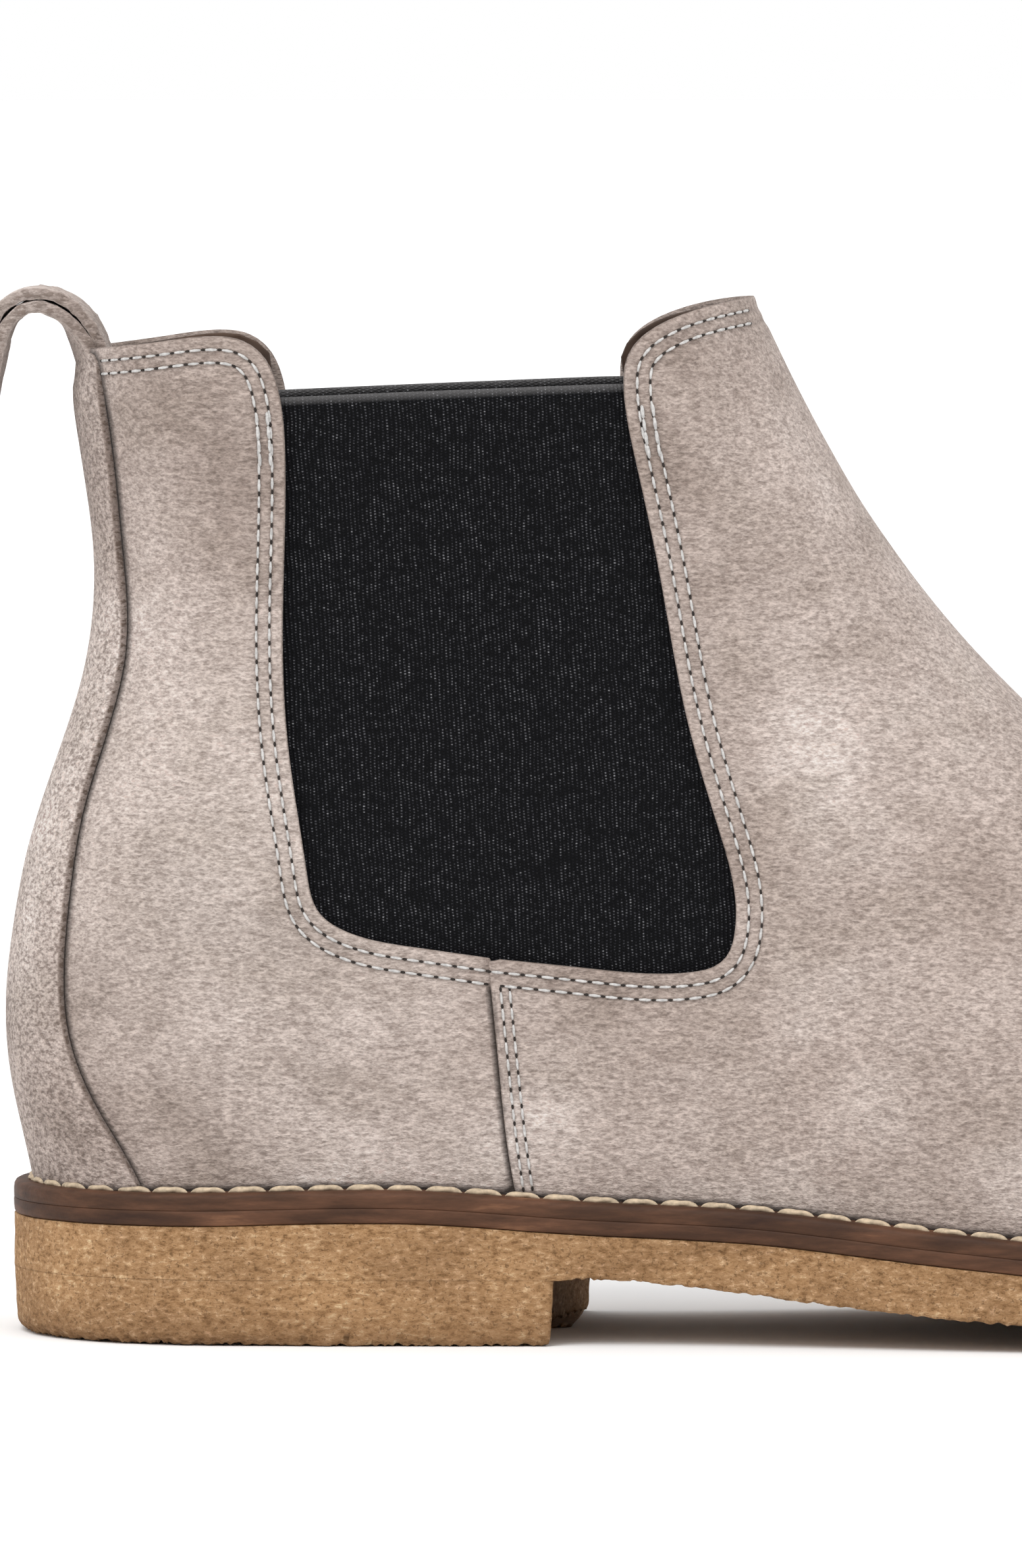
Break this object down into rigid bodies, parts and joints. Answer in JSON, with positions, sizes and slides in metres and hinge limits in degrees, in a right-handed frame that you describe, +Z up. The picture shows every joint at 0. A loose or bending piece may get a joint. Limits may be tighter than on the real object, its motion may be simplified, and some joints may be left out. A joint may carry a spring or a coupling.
{
  "type": "chelsea boot",
  "caption": "Right ankle boot in suede with elastic side gussets, a folded pull tab, stitched welt and a soft crepe sole with a low heel.",
  "frame": {"origin": "on the ground, under the middle of the heel, in the heel block's flat bottom face", "axes": "+X towards the toe, +Y to the medial (inner) side, +Z up"},
  "size_m": [0.3148, 0.1021, 0.1692],
  "materials": {
    "suede": "napped suede, greige",
    "elastic": "fine ribbed elastic, near black",
    "lining": "dark brown, smooth",
    "thread": "twisted sewing thread, off-white",
    "welt_leather": "burnished edge",
    "crepe": "natural crepe, grainy",
    "stiffener": "leather board",
    "board": "fibre board",
    "foam": "soft foam",
    "cork": "ground cork",
    "shank_steel": "spring steel"
  },
  "bodies": {
    "boot": {"vamp": "suede", "quarter_lateral": "suede", "quarter_medial": "suede", "backstay": "suede", "gusset_lateral": "elastic", "gusset_medial": "elastic", "vamp_lining": "lining", "quarter_lining_lateral": "lining", "quarter_lining_medial": "lining", "sock_liner": "lining", "heel_counter": "stiffener", "toe_puff": "stiffener", "insole_board": "board", "heel_pad": "foam", "cork_filler": "cork", "shank": "shank_steel", "welt": "welt_leather", "midsole": "welt_leather", "crepe_outsole": "crepe", "crepe_heel": "crepe"},
    "tab": {"pull_tab": "suede"}
  },
  "joints": [
    {"name": "pull_tab_fold", "type": "hinge", "parent": "boot", "child": "tab", "pos_m": [-0.0285, 0, 0.1618], "axis": [0, 1, 0], "range_deg": [-12, 100], "stiffness_Nm_per_rad": 0.02}
  ]
}
